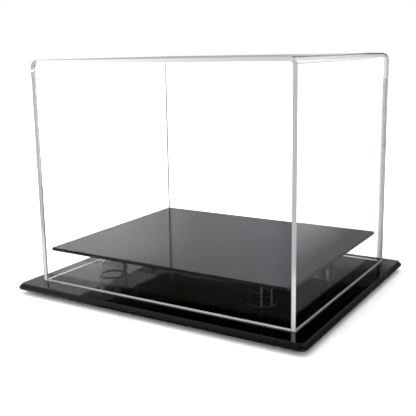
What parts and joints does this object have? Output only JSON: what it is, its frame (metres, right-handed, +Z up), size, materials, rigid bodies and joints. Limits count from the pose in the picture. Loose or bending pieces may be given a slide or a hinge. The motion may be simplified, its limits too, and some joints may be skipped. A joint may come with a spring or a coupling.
{
  "type": "hat display case",
  "caption": "Clear acrylic box cover standing on a bevel-edged black base, with a black platform on clear tubes inside to hold a hat on show.",
  "frame": {"origin": "on the surface that the feet stand on, under the middle of the base", "axes": "+Z up, +X to the right of someone facing the front, -Y out of the front panel"},
  "size_m": [0.372, 0.312, 0.2751],
  "materials": {
    "gloss_black_acrylic": "polished black acrylic sheet",
    "clear_acrylic": "clear cast acrylic sheet, polished faces",
    "clear_tube": "clear extruded acrylic tube",
    "bumper_rubber": "matt moulded rubber"
  },
  "bodies": {
    "base": {"base_plate": "gloss_black_acrylic", "foot_front_left": "bumper_rubber", "foot_front_right": "bumper_rubber", "foot_back_left": "bumper_rubber", "foot_back_right": "bumper_rubber"},
    "cover": {"cover_wrap": "clear_acrylic", "cover_front_panel": "clear_acrylic", "cover_back_panel": "clear_acrylic"},
    "riser": {"platform": "gloss_black_acrylic", "tube_front_left": "clear_tube", "tube_front_right": "clear_tube", "tube_back_left": "clear_tube", "tube_back_right": "clear_tube"}
  },
  "joints": [
    {"name": "cover_lift", "type": "slide", "parent": "base", "child": "cover", "axis": [0, 0, 1], "range_m": [0, 0.28]},
    {"name": "riser_lift", "type": "slide", "parent": "base", "child": "riser", "axis": [0, 0, 1], "range_m": [0, 0.1]}
  ]
}
